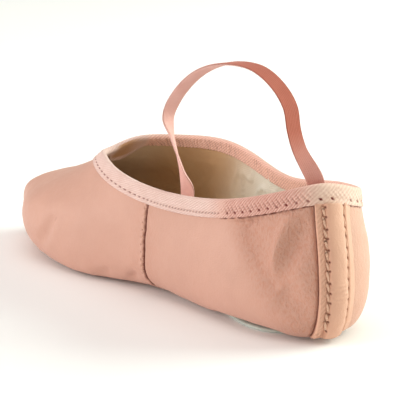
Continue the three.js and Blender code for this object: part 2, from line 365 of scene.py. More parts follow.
# Creases of the leather: height in millimetres, half width, and the places they pass, as (u, level)
CREASES = (
    (2.1, 3.4, ((0.0700, 0.85), (0.0740, 0.77), (0.0797, 0.60), (0.0830, 0.40), (0.0867, 0.20),
                (0.0885, 0.10))),
    (0.9, 1.8, ((0.0770, 0.70), (0.0807, 0.57), (0.0836, 0.37), (0.0873, 0.17), (0.0888, 0.09))),
    (-2.1, 4.0, ((0.0433, 0.71), (0.0578, 0.58), (0.0680, 0.39), (0.0735, 0.20), (0.0780, -0.04))),
    (-3.2, 7.5, ((0.1330, 0.96), (0.1255, 0.79), (0.1165, 0.62), (0.1075, 0.44), (0.0995, 0.22),
                 (0.0925, 0.06), (0.0840, -0.07))),
    (-0.5, 2.4, ((0.0850, -0.02), (0.0905, 0.02), (0.0945, 0.14))),
    (-2.3, 6.0, ((0.0840, -0.05), (0.0720, -0.16), (0.0590, -0.29), (0.0470, -0.46))),
    (-1.5, 3.4, ((0.3320, 0.235), (0.3367, 0.045), (0.3510, -0.265))),
    (-0.35, 1.2, ((0.3300, 0.25), (0.3330, 0.14))),
    (-0.9, 2.4, ((0.2880, -0.66), (0.2795, -0.56), (0.2740, -0.42))),
    (-1.3, 2.4, ((0.2590, -0.62), (0.2520, -0.50), (0.2465, -0.36))),
    (-0.35, 2.0, ((0.2383, -0.115), (0.2465, -0.035))),
    (0.35, 2.6, ((0.3000, -0.40), (0.2920, -0.72))),
    (-0.5, 0.9, ((0.1158, 0.845), (0.1185, 0.79), (0.1263, 0.69))),
    (-0.4, 0.8, ((0.1085, 0.85), (0.1120, 0.778), (0.1138, 0.72))),
    (-0.3, 0.8, ((0.1033, 0.855), (0.1060, 0.79))),
    (-0.35, 0.8, ((0.1250, 0.84), (0.1293, 0.775))),
    (-0.9, 3.4, ((0.905, 0.78), (0.895, 0.45), (0.890, 0.10))),
    (0.7, 3.2, ((0.885, 0.78), (0.872, 0.45))),
    (-0.7, 4.5, ((0.655, 0.20), (0.640, -0.35))),
)
SHARP = 1.3               # creases narrower than this get painted shade lines as well
SHARP_SHADE = 0.28
DEEP = -2.0               # and those deeper than this take the darker, redder tint as painted warm shade
# The side seams: how far round they are at some levels, on the left side
SEAM_LEVELS = (-1.0, -0.88, -0.80, -0.70, -0.445, -0.215, 0.075, 0.39, 0.77, 1.0)
SEAM_PLACES = (0.214, 0.222, 0.2295, 0.2345, 0.236, 0.235, 0.2323, 0.2345, 0.2423, 0.246)
SEAM_SINK = 0.75
SEAM_RISE = 0.5           # the vamp's edge beside the seam, and the lower bank across it
SEAM_BANK = 0.12
SEAM_HOLE_ROW = 2.2       # stitch holes, from the seam
SEAM_HOLE_DEPTH = 0.3
SEAM_PITCH = 3.2          # stitches down the side seams
SEAM_MM = 600.0           # millimetres round the shoe for a whole turn, at the seams
ARCH_PLACE = 0.126        # where the edge of the sole shows most
ARCH_WIDTH = 0.036
ARCH_TUCK = 2.2
STRIP_GROOVE = 0.6        # along the left edge of the heel strip
TOE_PLEATS = 64           # pleats for a whole turn, where the leather turns in at the toe
PLEAT_HEIGHT = 0.45


def seam_distance(u, level):
    """Millimetres from the nearer side seam, towards the toe."""
    seam = np.interp(level, SEAM_LEVELS, SEAM_PLACES)
    left = (u - seam) * SEAM_MM
    right = (1 - seam - u) * SEAM_MM
    return np.where(np.abs(left) < np.abs(right), left, right)


def seam_relief(u, level, points):
    """Height of the leather beside the side seams, and the painted shade in its crevice and stitch holes."""
    from_seam = seam_distance(u, level)
    crevice = bell(from_seam, 0.5)
    ridge = np.where(from_seam > 0, bell(from_seam - 1.0, 1.3), 0)
    bank = np.where(from_seam < 0, bell(from_seam + 1.3, 1.5), 0)
    wave = np.cos(TURN * points[..., 2] / SEAM_PITCH)
    holes = bell(from_seam - SEAM_HOLE_ROW, 0.45) * np.clip(wave, 0, 1) ** 4
    height = SEAM_RISE * ridge * (1 - 0.35 * wave) + SEAM_BANK * bank
    height -= SEAM_SINK * crevice + SEAM_HOLE_DEPTH * holes
    shown = ramp(level, -1.0, -0.75)
    # painted shade in the seam's crevice and its stitch holes
    return height * shown, np.maximum(crevice, 0.9 * holes) * shown


def stay_reach(level):
    """Millimetres for a whole turn round the shoe, at the heel strip."""
    step = 0.01
    across = face(STAY_MIDDLE + step, level) - face(STAY_MIDDLE - step, level)
    return np.linalg.norm(across, axis=-1) / (2 * step)


def strip_relief(u, level):
    """The leather sinks in along the left edge of the heel strip, with a painted shadow line there."""
    turned = np.where(u > 0.5, u - 1, u) - STAY_MIDDLE
    left = turned * stay_reach(level) - STAY_WIDTH / 2
    shown = ramp(level, -0.95, -0.8)
    # painted shadow along the strip's left edge
    return -STRIP_GROOVE * bell(left - 0.3, 0.8) * shown, 0.7 * bell(left - 0.15, 0.4) * shown


def shadow_line(u, level, points):
    """Uneven dark line on the leather just below the gathered tape."""
    edge = levels_below(u, [TAPE_OUT, TAPE_OUT + 1.0])
    below = (edge[:, :1] - level) / np.maximum(edge[:, :1] - edge[:, 1:], 1e-6)
    ragged = 0.8 + 0.5 * soft_noise(points, 2.4, seed=12)
    return gathered(u) * np.clip(ragged, 0, 1) * bell(below - 0.15, 0.55)


def crease_relief(points):
    """Height of the creases over the plain form, the painted shade in the sharp ones, and how much painted
    warm shade the deep ones take.
    """
    height, painted_shade, wear_and_shade = np.zeros((3,) + points.shape[:2])
    for depth, width, path in CREASES:
        away, along = distance_to(points, path_on_face(path))
        trough = bell(away, width) * np.sqrt(np.sin(np.pi * np.clip(along, 0.03, 0.97)))
        height += depth * trough
        if width < SHARP:
            # painted shade along the sharp creases
            painted_shade = np.maximum(painted_shade, SHARP_SHADE * trough)
        if depth < DEEP:
            # deep creases take the darker, redder tint as painted warm shade
            wear_and_shade = np.maximum(wear_and_shade, trough)
    return height, painted_shade, wear_and_shade


def arch_relief(u, level):
    """The upper tucks in at the left arch, where the edge of the sole shows, with a painted shadow line in the
    gap above it.
    """
    arch = bell(u - ARCH_PLACE, ARCH_WIDTH, power=4)
    # painted shadow line in the gap above the sole
    return -ARCH_TUCK * arch * ramp(level, -0.64, -0.89), 0.9 * arch * bell(level + 1.0, 0.06)


def leather_relief(u, level, points):
    """Height of the finished leather over its creased form, and the painted shade in its crevices."""
    height, painted_shade = seam_relief(u, level, points)
    sunk, strip_shade = strip_relief(u, level)
    tucked, arch_shade = arch_relief(u, level)
    height += sunk + tucked
    # painted shade from the seams, the strip's edge, the arch gap and below the tape
    painted_shade = np.maximum.reduce([painted_shade, strip_shade, arch_shade, shadow_line(u, level, points)])
    height += 0.22 * soft_noise(points, 34, seed=3) + 0.06 * soft_noise(points, 11, seed=4)
    turned = ramp(level, -0.35, -0.95) * ramp(level, -2.0, -1.5)
    toe = ramp(np.abs(u - 0.5), 0.17, 0.09)
    pleats = np.sin(TURN * TOE_PLEATS * u + 1.5 * np.sin(TURN * 9 * u))
    height += PLEAT_HEIGHT * turned * toe * pleats
    return height, painted_shade


def wear_and_shade_share(u, level):
    """Where the leather is finely wrinkled, at the sides of the heel, most on the left, and at the seams;
    there it also takes a darker, redder tint, partly wear and partly painted shade.
    """
    left = ramp(u - 0.03 * level, 0.13, 0.07) * (u < 0.5)
    right = 0.15 * ramp(u, 0.86, 0.91)
    seam = bell(seam_distance(u, level), 9)
    return np.clip((left + right) * ramp(level, -0.9, -0.6) + 0.35 * seam, 0, 1)


# Places round the shoe with fine forms: the two seams, the edges of the heel strip and the short gathers
LEATHER_FINE = (0.236, 0.764, 0.037, 0.982, 0.108, 0.122)
LEATHER_COLUMNS = 680
LEATHER_ROWS = 66         # above the widest line
LINING_COLUMNS = 360
LINING_ROWS = 34


def crowded_columns(count, places, width=0.008, gain=4.0):
    """Places round the shoe, closer together near the given ones."""
    u = np.linspace(0, 1, 4001)
    crowd = 1 + sum(gain * bell(u - at, width) for at in places)
    gone = sums((crowd[1:] + crowd[:-1]) / 2)
    return np.interp(np.arange(count) / count * gone[-1], gone, u)


def wall_levels(u, low, top, count):
    """Levels of a wall of the shoe: the low ones, then evenly up to a length below the collar's top."""
    high = levels_below(u, [top]) * np.linspace(0, 1, count)
    return np.concatenate([np.repeat(low[None], len(u), 0), high], axis=1)


def upper_leather(material):
    u = crowded_columns(LEATHER_COLUMNS, LEATHER_FINE)[:, None]
    low = np.concatenate([np.linspace(-2, -1, 10, endpoint=False), np.linspace(-1, 0, 32, endpoint=False)])
    levels = wall_levels(u, low, LEATHER_TOP, LEATHER_ROWS)
    plain = face(u, levels)
    # the painted shade of the sharp creases and the painted warm shade of the deep ones
    creases, crease_shade, crease_warm_shade = crease_relief(plain)
    creases *= smooth((levels_below(u, [TAPE_OUT]) - levels) / 0.06)
    height, painted_shade = leather_relief(u, levels, plain)
    outer = offset_face(u, levels, creases + height)
    pick = np.linspace(levels.shape[1] - 1, 0, 28).astype(int)
    inner = offset_face(u, levels[:, pick], np.minimum(creases[:, pick], 0) - LEATHER)
    points = np.concatenate([outer, inner], axis=1)
    wear_and_shade = np.clip(wear_and_shade_share(u, levels) + crease_warm_shade, 0, 1)
    inside = ((0, 0), (0, len(pick)))
    # painted shade in the crevices, a tint that is partly wear and partly painted shade, and painted warm
    # light at the back of the heel
    values = {
        "painted_shade": np.pad(np.maximum(painted_shade, crease_shade), inside),
        "wear_and_shade": np.pad(wear_and_shade, inside),
        "painted_warm_light": 0.35 * ramp(u, 0.90, 0.97),
    }
    add_piece(grid_mesh("upper_leather", points, ring=True, values=values), material, "upper")


def lining(material):
    u = np.arange(LINING_COLUMNS)[:, None] / LINING_COLUMNS
    levels = wall_levels(u, np.linspace(-2, 0, 26)[:-1], LINING_TOP, LINING_ROWS)
    plain = face(u, levels)
    creased = 1 + 3 * bell(u - 0.77, 0.05)
    ridges = np.clip(1 - 2 * np.abs(soft_noise(plain, 15, seed=10)), 0, 1)
    under_tape = smooth((levels[:, -1:] - levels) / 0.25)
    sag = 0.25 * soft_noise(plain, 26, seed=8) - 0.45 * creased * ridges * under_tape
    sunk = np.minimum(crease_relief(plain)[0], 0) * under_tape
    inner = offset_face(u, levels, sunk - WALL + np.minimum(sag, 0.2))
    outer = offset_face(u, levels, sunk - LEATHER - 0.1)[:, ::-1]
    from_heel = np.minimum(u, 1 - u)
    # painted brown shade deeper inside the shoe, towards the toe
    painted_brown_shade = ramp(from_heel, 0.22, 0.32) * (1 - 0.35 * ramp(from_heel, 0.36, 0.42))
    points = np.concatenate([inner, outer], axis=1)
    add_piece(grid_mesh("lining", points, ring=True, values={"painted_brown_shade": painted_brown_shade}), material)


# Collar tape
TAPE_COLUMNS = 1440
STITCH_ROW = TAPE_OUT - 1.9   # the stitch row, a little above the tape's lower edge
FINE_PITCH = 2.0          # stitches along the smooth front of the tape, which are longer round the throat
FRONT_LONGER = 1.1
FRONT_ROW = 0.28
WIDE_PITCH = 4.5          # stitches along the gathered back
HOLE_DEPTH = 0.2
CHEVRON_HEIGHT = 0.28     # gathers at the stitches, and the slanted ribs above them
RIB_HEIGHT = 0.12
RIB_PITCH = 1.3
FOLD_HEIGHT = 0.2         # soft folds of the inner leg
FOLD_PITCH = 1.9
GATHER_LEFT = (0.158, 0.143)  # where the gathers begin, and where they are full
GATHER_RIGHT = (0.570, 0.590)
LOOSE_FROM = (0.485, 0.515)   # where the tape hangs loose inside the throat, on the far side
LOOSE_TO = (0.584, 0.530)
LOOSE_DROP = 6.5
LOOSE_IN = 2.2
HEM = 0.7


def gathered(u):
    """1 where the tape is gathered, round the heel and along the far side, and 0 at the smooth front."""
    u = np.mod(u, 1.0)
    return np.maximum(ramp(u, *GATHER_LEFT), ramp(u, *GATHER_RIGHT))


def tight_and_shaded_share(u):
    """1 where the gathered tape is drawn tighter and has a redder painted shade, at the left of the heel; less
    on the right.
    """
    left = ramp(u, 0.03, 0.08) * ramp(u, 0.175, 0.135)
    right = ramp(u, 0.97, 0.92) * ramp(u, 0.56, 0.60)
    return left + 0.6 * right


def loose(u):
    """1 where the inner leg of the tape hangs loose."""
    return ramp(u, *LOOSE_FROM) * ramp(u, *LOOSE_TO)


def front_share(u):
    """1 round the throat, where the fine stitches are longer."""
    return ramp(np.abs(u - 0.5), FRONT_ROW, FRONT_ROW - 0.06)


def tape_section():
    """The folded tape in section, as (length below the top, distance out), from its outer lower edge."""
    out_face = TAPE_LIFT + TAPE
    in_face = -WALL - TAPE_LIFT - TAPE
    middle = (out_face + in_face) / 2
    top = (out_face - in_face) / 2

    def leg(first, last, out, count):
        return np.stack([np.linspace(first, last, count), np.full(count, out)], -1)

    def fold(radius):
        turn = np.linspace(0, np.pi, 11)[1:-1]
        return np.stack([top - radius * np.sin(turn), middle + radius * np.cos(turn)], -1)

    return np.concatenate([
        [[TAPE_OUT + 0.05, out_face - 0.3], [TAPE_OUT, out_face - 0.1]],
        leg(TAPE_OUT - 0.15, top, out_face, 26), fold(top),
        leg(top, TAPE_IN, in_face, 10), [[TAPE_IN + 0.1, in_face + 0.3]],
        leg(TAPE_IN, top, in_face + TAPE, 5), fold(top - TAPE)[::-1],
        leg(top, TAPE_OUT - 0.1, out_face - TAPE, 4)])


# Places round the collar, and the length along it at each of them and back at the start
collar_u = np.arange(TAPE_COLUMNS) / TAPE_COLUMNS
collar_lengths = sums(step_lengths(closed(face(collar_u, levels_below(collar_u, [4.0])[:, 0]))))


def stitch_places(pitch, front_longer, in_gathers):
    """Places of the stitch holes along the gathered or the smooth part of the collar."""
    gone = sums(np.diff(collar_lengths) / (pitch * (1 + front_longer * front_share(collar_u))))
    at = np.interp(np.arange(int(gone[-1])) + 0.5, gone, np.append(collar_u, 1.0))
    return at[(gathered(at) > 0.5) == in_gathers]


fine_places = stitch_places(FINE_PITCH, FRONT_LONGER, False)
wide_places = stitch_places(WIDE_PITCH, 0.0, True)


def hole_relief(along, from_row):
    """Depth of the stitch holes and the painted shade in them: slanted along the sides, and longer round the
    throat.
    """
    depth, painted_shade = np.zeros((2, len(along), from_row.shape[1]))
    kinds = ((fine_places, 0.50, 0.45, -0.5), (wide_places, 0.62, 0.58, 0.6))
    for places, width, rise, lean in kinds:
        for u in places:
            at = np.interp(u, np.append(collar_u, 1.0), collar_lengths)
            front = front_share(u)
            near = np.abs(along[:, 0] - at) < 3
            slanted = along[near] - at + lean * (1 - front) * from_row
            hole = bell(slanted, width * (1 + 1.5 * front), 4) * bell(from_row, rise * (1 - 0.2 * front), 4)
            shown = 0.55 + 0.2 * front if places is fine_places else 0.85 + 0.15 * math.sin(40 * u * at)
            depth[near] += HOLE_DEPTH * hole
            # painted shade in the stitch holes
            painted_shade[near] = np.maximum(painted_shade[near], shown * hole)
    return depth, painted_shade


def tape_relief(section):
    """Height of the tape's gathers and stitch dimples, and the painted shade in the holes and folds."""
    below_top, out = section.T
    along = collar_lengths[:-1, None]
    outside = out > -WALL / 2
    across = np.where(outside, below_top, -below_top)[None, :]
    from_row = across - STITCH_ROW
    gather = gathered(collar_u)[:, None]
    tight = gather * (0.25 + 0.75 * tight_and_shaded_share(collar_u)[:, None])
    ways = np.stack(np.broadcast_arrays(along, across, 0 * along), -1)
    warp = 0.5 * soft_noise(ways, 9.0, seed=21) + 0.25 * soft_noise(ways, 2.5, seed=22)
    low_half = bell(from_row + 1.4, 1.7)
    chevrons = -np.cos(TURN * (along + 0.85 * from_row) / (WIDE_PITCH / 2) + 0.7 * warp)
    ribs = np.cos(TURN * (along - 0.8 * across) / RIB_PITCH + 1.5 * warp)
    height = CHEVRON_HEIGHT * chevrons * low_half + RIB_HEIGHT * ribs * (1 - low_half) + 0.08 * warp
    # painted shade in the gathers' folds and between the ribs
    painted_shade = 0.75 * smooth(-0.1 - 0.8 * chevrons) * low_half + 0.45 * smooth(-0.1 - ribs) * (1 - low_half)
    hole_depth, hole_shade = hole_relief(along, from_row)
    height = tight * height - hole_depth - (0.12 + 0.10 * gather) * bell(from_row, 0.8)
    folds = np.cos(TURN * (along + 0.5 * across) / FOLD_PITCH + 4.0 * warp) + 0.5 * warp
    height = np.where(outside, height, FOLD_HEIGHT * gather * folds)
    # painted shade in the holes and folds outside, and in the inner leg's folds
    painted_shade = np.where(outside, np.maximum(hole_shade, tight * painted_shade), 0.45 * gather * smooth(-0.3 - folds))
    on_tape = ramp(out, TAPE_LIFT, TAPE_LIFT + 0.3) + 0.8 * (out < -WALL - 0.5)
    return height * on_tape, painted_shade * (on_tape > 0.2)


def collar_binding(material):
    section = tape_section()
    below_top, section_out = section.T
    inside = section_out < -WALL / 2
    u = collar_u[:, None]
    along = collar_lengths[:-1, None]
    height, painted_shade = tape_relief(section)
    gather = gathered(u)
    loose_inside = loose(u) * inside
    hang = loose_inside * (below_top / TAPE_IN) ** 2
    hem = loose_inside * bell(below_top - TAPE_IN, 0.6)
    ripple = 0.7 + 0.3 * np.sin(along / 5.0)
    scallop = 0.08 * gather * np.sin(TURN * along / WIDE_PITCH) * ramp(below_top, TAPE_OUT - 1.5, TAPE_OUT)
    levels = levels_below(u, np.clip(below_top + scallop + LOOSE_DROP * hang, 0, None))
    out = section_out + height * np.where(inside, -1, 1) - LOOSE_IN * hang * ripple - HEM * hem
    points = offset_face(u, levels, out)
    across = sums(step_lengths(closed(section)))
    values = {
        # painted shade in the holes and folds
        "painted_shade": painted_shade,
        "gather": gather,
        # redder painted shade on the gathered tape, and on its inner leg
        "painted_red_shade": np.where(inside, 0.45 * gather, tight_and_shaded_share(u)),
        # painted brown shade on the loose inner leg inside the throat
        "painted_brown_shade": loose_inside * ramp(below_top, TAPE_IN - 0.5, TAPE_IN - 0.9),
        # painted light on the inner leg of the gathered tape
        "painted_inner_light": 0.8 * gather * inside,
    }
    uv = (collar_lengths * MM, across * MM)
    mesh = grid_mesh("collar_binding", points, ring=True, uv=uv, values=values)
    add_piece(mesh, material, "collar_binding")


# Heel strip: shares across run from 1 at its left edge to -1 at its right edge
LEFT_ROW = 0.58           # stitch rows
RIGHT_ROW = -0.52
STAY_PITCH = 4.0
STAY_BOTTOM = -0.86
STAY_COLUMNS = 85
STAY_ROWS = 250
STAY_HALF = STAY_WIDTH / 2
STAY_TUBE = 1.5           # height of the padded tube, and depth of the stitch rows beside it
STAY_VALLEY = 0.9


def stay_profile(side):
    """Height of the strip over the leather: two sewn margins and a padded tube between the stitch rows."""
    margin = np.interp(side, (-1, RIGHT_ROW, LEFT_ROW, 1), (0.0, 1.0, 1.1, 1.3))
    from_middle = (side - (LEFT_ROW + RIGHT_ROW) / 2) / ((LEFT_ROW - RIGHT_ROW) / 2)
    tube = np.clip(1 - from_middle ** 2, 0, 1) ** 0.5
    valley = bell(side - LEFT_ROW, 0.08) + bell(side - RIGHT_ROW, 0.08)
    return 0.2 + round_edge(side, 0.92) * margin + STAY_TUBE * tube - STAY_VALLEY * valley


def stay_grid(across, down):
    """Places of the strip: u and level for a share across and a share down from 0 to 1."""
    across, down = np.broadcast_arrays(across, down)
    top = levels_below(STAY_MIDDLE, [TAPE_OUT - 0.4])[0, 0]
    level = top + (STAY_BOTTOM - top) * down
    return STAY_MIDDLE + across * STAY_HALF / stay_reach(level), level


def stay_lengths():
    """Length of the strip from its top, and the shares down that it belongs to."""
    down = np.linspace(0, 1, 201)
    return sums(step_lengths(face(*stay_grid(0.0, down)))), down


def stay_holes(row):
    """Shares down the strip where a row's stitch holes are, a little unevenly spaced."""
    lengths, down = stay_lengths()
    count = int(lengths[-1] / STAY_PITCH)
    uneven = 0.35 * np.sin(np.arange(count) * 2.4 + row * 5)
    return np.interp((np.arange(count) + 0.3) * STAY_PITCH + uneven, lengths, down)


def stay_relief(across, down, on_tube):
    """Height of the strip with its stitch holes, puckers and wrinkles, and the painted shade in the holes and
    along the rows.
    """
    lengths, shares = stay_lengths()
    length = np.interp(down, shares, lengths)
    height = stay_profile(across)
    painted_shade = np.zeros_like(height)
    for row, hole_side, hole_wide, hole_high in ((LEFT_ROW, LEFT_ROW - 0.09, 0.32, 0.5),
                                                 (RIGHT_ROW, RIGHT_ROW, 0.55, 0.8)):
        # painted shade along the stitch rows and in the holes
        painted_shade = np.maximum(painted_shade, 0.15 * bell(across - row, 0.05))
        for at in np.interp(stay_holes(row), shares, lengths):
            hole = bell((across - hole_side) * STAY_HALF, hole_wide) * bell(length - at, hole_high)
            pucker = bell((across - row - 0.13) * STAY_HALF, 0.9) * bell(length - at, 0.8)
            height -= 0.4 * hole + 0.12 * pucker
            painted_shade = np.maximum(painted_shade, hole)
    height += 0.14 * on_tube * bell(length - 33, 3.5) * np.sin(TURN * length / 1.6 + 2 * across)
    from_row = across - LEFT_ROW
    puckers = np.sin(TURN * (length - 1.3 * from_row * STAY_HALF) / (STAY_PITCH / 2))
    height += 0.16 * puckers * ramp(from_row, 0.06, 0.16) * ramp(across, 1.0, 0.9)
    return height, painted_shade


def backstay(material):
    across, down = np.meshgrid(np.linspace(-1, 1, STAY_COLUMNS), np.linspace(0, 1, STAY_ROWS), indexing="ij")
    u, level = stay_grid(across, down)
    on_tube = (across < LEFT_ROW - 0.1) & (across > RIGHT_ROW + 0.1)
    height, painted_shade = stay_relief(across, down, on_tube)
    plain = face(u, level)
    height += 0.10 * soft_noise(plain, 12, seed=31) + 0.03 * soft_noise(plain, 4, seed=32)
    height *= 1 - 0.75 * ramp(down, 0.9, 1.0)
    inner = offset_face(u, level, -0.5)[::-1]
    points = np.concatenate([offset_face(u, level, height), inner]).transpose(1, 0, 2)
    inside = ((0, len(inner)), (0, 0))
    values = {
        # painted shade in the holes and along the rows
        "painted_shade": np.pad(painted_shade, inside).T,
        # a little of the wrinkles and of the darker, redder tint, partly painted shade, on the tube
        "wear_and_shade": np.pad(0.1 * on_tube, inside).T,
        # painted warm light over the whole strip
        "painted_warm_light": 1.0,
    }
    add_piece(grid_mesh("backstay", points, ring=False, values=values), material, "backstay")


# Threads
def tube_points(path, radius, sides=7):
    """Rings round a short thread, thinner at its ends."""
    tangent = unit(np.gradient(path, axis=0))
    guide = np.array([0.31, 0.17, 0.93])
    first = unit(np.cross(tangent, guide))
    second = np.cross(tangent, first)
    turn = np.arange(sides) * TURN / sides
    share = np.linspace(-1, 1, len(path))
    swell = radius * np.sqrt(np.clip(1.04 - share ** 4, 0.05, 1))
    ring = np.cos(turn)[None, :, None] * first[:, None] + np.sin(turn)[None, :, None] * second[:, None]
    return path[:, None] + ring * swell[:, None, None]


def thread_mesh(name, paths, radius):
    """One mesh of many short threads, with the quads turned to face outwards."""
    rings = np.stack([tube_points(path, radius) for path in paths])
    count, sides = rings.shape[1:3]
    quads = grid_quads(count, sides, ring=False, tube=True)[0][:, ::-1]
    corners = quads.tolist() + end_caps(count, sides, flipped=True)
    starts = np.arange(len(paths)) * count * sides
    faces = [[int(start) + corner for corner in one] for start in starts for one in corners]
    mesh = bpy.data.meshes.new(name)
    mesh.from_pydata(place(rings).reshape(-1, 3).tolist(), [], faces)
    mesh.update()
    return mesh


def arched(start, end, normal, lift, count=7):
    """A short thread from one hole to the next, lying up over the material between them."""
    t = np.linspace(0, 1, count)[:, None]
    return start + (end - start) * t + normal * (lift * np.sin(np.pi * t))


def stitch(u, level, out, lift):
    """A thread between two places on the upper, at distances out from it."""
    start, end = offset_face(u, level, out)
    return arched(start, end, face_normal(u, level).mean(axis=0), lift)


def heel_stitches(material):
    """Slanted loops down the left row of the heel strip and flatter ones down its right row."""
    rows = (("left", LEFT_ROW, (0.08, -0.06), (1.2, 0.9), 0.4, 0.56),
            ("right", RIGHT_ROW, (0.06, -0.06), (0.8, 0.7), 0.2, 0.35))
    for key, row, aside, heights, lift, radius in rows:
        holes = stay_holes(row)
        above = 0.08 * np.diff(holes)
        pairs = np.stack([holes[:-1] - above, holes[1:] - above], -1)
        paths = [stitch(*stay_grid(row + np.array(aside), pair), heights, lift) for pair in pairs]
        add_piece(thread_mesh(f"heel_stitches_{key}", paths, radius), material)


def collar_stitches(material):
    """Short threads between the holes along the smooth front of the tape."""
    holes = np.sort(fine_places)
    paths = []
    for first, last in zip(holes[:-1], holes[1:]):
        u = first + (last - first) * np.array([0.32, 0.68])
        level = np.diagonal(levels_below(u, [STITCH_ROW - 0.25, STITCH_ROW + 0.25]))
        paths.append(stitch(u, level, TAPE_LIFT + TAPE - 0.12, 0.16))
    add_piece(thread_mesh("collar_stitches", paths, 0.22), material)


def seam_stitches(material):
    """Short threads over the vamp's edge, down both side seams."""
    paths = []
    for mirrored in (False, True):
        for level in np.arange(0.76, -0.34, -0.085):
            u = np.interp(level, SEAM_LEVELS, SEAM_PLACES) + np.array([0.3, 2.0]) / SEAM_MM
            u = 1 - u if mirrored else u
            paths.append(stitch(u, level + np.array([-0.02, 0.015]), (-0.2, SEAM_RISE - 0.2), 0.3))
    add_piece(thread_mesh("seam_stitches", paths, 0.2), material)


# Under and inside the foot
SLAB_COLUMNS = 300
SLAB_ROWS = 26
SOLE_STITCHES = 150
SOLE_STITCH_IN = 2.6      # stitch row, inside the edge of the outsole


def slab(name, inset_of, low, thickness, relief, round_off):
    """A sheet with rounded edges, from its outline in to the middle line."""
    u = np.arange(SLAB_COLUMNS)[:, None] / SLAB_COLUMNS
    edge = inset_of(u)
    turn = np.linspace(-np.pi / 2, np.pi / 2, 7)[1:-1]
    share = np.linspace(0, 1, SLAB_ROWS) ** 0.8
    inset = edge + round_off + (np.hypot(*to_spine(u)) - edge - round_off) * share
    under = inside_point(u, inset, low)
    over = inside_point(u, inset, low + thickness)
    under[..., 2] += relief * np.clip(soft_noise(under, 14, seed=41), 0, None)
    over[..., 2] -= relief * np.clip(soft_noise(over, 14, seed=42), 0, None)
    side = inside_point(u, edge + round_off * (1 - np.cos(turn)), low + thickness * (1 + np.sin(turn)) / 2)
    mesh = grid_mesh(name, np.concatenate([under[:, ::-1], side, over], axis=1), ring=True, tube=False)
    merge_mesh(mesh)
    return mesh


def outsole(material):
    mesh = slab("outsole", sole_inset_at, 0.0, SOLE, relief=0.05, round_off=0.6)
    add_piece(mesh, material, "outsole")


def insole(material):
    low = SOLE + SEAT_GAP + WALL + SEAT_GAP
    mesh = slab("insole", inset_at, low, SOCK, relief=0.25, round_off=0.5)
    add_piece(mesh, material, "insole")


def sole_stitches(material):
    """Stitch row round the outsole, seen from below."""
    down = np.array([0, 0, -1.0])
    paths = []
    for k in range(SOLE_STITCHES):
        u = (k + np.array([0.12, 0.72])) / SOLE_STITCHES
        start, end = inside_point(u, sole_inset_at(u) + SOLE_STITCH_IN, 0.28)
        paths.append(arched(start, end, down, 0.08))
    add_piece(thread_mesh("sole_stitches", paths, 0.2), material)


# Elastic strap
ELASTIC = 1.0
ELASTIC_WIDTH = 6.5
ELASTIC_GAP = 0.85        # from the lining to the elastic's sewn ends
ELASTIC_COLUMNS = 420
ELASTIC_ROWS = 46
ELASTIC_RIBS = 9
RIB_RISE = 0.07
TAPE_STEP = 1.15          # how far the ends step out over the folded tape
ELASTIC_PATH = (          # x, y, z and the way the width points, in degrees from +x towards +y
    (82, 18.2, 46.5, 200),
    (83.2, 19.8, 56, 160),
    (86.5, 21.5, 69, 140),
    (88, 22, 76, 105),
    (85, 21.5, 82.5, 86),
    (75, 20, 92.5, 78),
    (63.5, 18.5, 99, 76),
    (50, 16.5, 102.5, 80),
    (35, 14.5, 102, 85),
    (24.5, 13, 96.5, 87),
    (19, 12, 89.5, 89),
    (17, 12, 81, 92),
    (14.5, 11.5, 74, 90),
)
# Sewn ends: the place round the shoe, then lengths below the collar's top and how many tapes lie behind
ELASTIC_FRONT = (0.2035, ((20, 0), (13, 0)))
ELASTIC_BACK = (0.0375, ((19, 0.3), (12, 0.4), (5.5, 1.5), (0, 1.5)))


def smooth_line(points, count):
    """Curve through points that are unevenly spaced, without overshoot."""
    spans = step_lengths(points)[:, None] ** 0.5
    slopes = np.diff(points, axis=0) / spans
    inner = (slopes[:-1] * spans[1:] + slopes[1:] * spans[:-1]) / (spans[1:] + spans[:-1])
    tangents = np.concatenate([slopes[:1], inner, slopes[-1:]])
    share = np.linspace(0, len(points) - 1, count)
    k = np.minimum(share.astype(int), len(points) - 2)
    t = (share - k)[:, None]
    h = spans[k]
    return ((2 * t ** 3 - 3 * t ** 2 + 1) * points[k] + (t ** 3 - 2 * t ** 2 + t) * h * tangents[k]
            + (3 * t ** 2 - 2 * t ** 3) * points[k + 1] + (t ** 3 - t ** 2) * h * tangents[k + 1])


def sewn_end(u, rows, like):
    """Points and width directions of a sewn end, turned the same way as the free part beside it."""
    lengths, tapes = np.array(rows, float).T
    level = levels_below(u, lengths)[0]
    points = offset_face(u, level, -WALL - ELASTIC_GAP - ELASTIC / 2 - tapes * TAPE_STEP)
    ways = unit(face(u + 0.004, level) - face(u - 0.004, level))
    return points, ways * np.where(ways @ like >= 0, 1, -1)[:, None]


def elastic_line(count):
    """Middle line of the elastic and the way its width points."""
    free = np.array(ELASTIC_PATH, float)
    angle = np.radians(free[:, 3])
    free_ways = np.stack([np.cos(angle), np.sin(angle), 0 * angle], -1)
    front, front_ways = sewn_end(*ELASTIC_FRONT, free_ways[0])
    back, back_ways = sewn_end(*ELASTIC_BACK, free_ways[-1])
    line = smooth_line(np.concatenate([front, free[:, :3], back[::-1]]), count)
    return line, smooth_line(np.concatenate([front_ways, free_ways, back_ways[::-1]]), count)


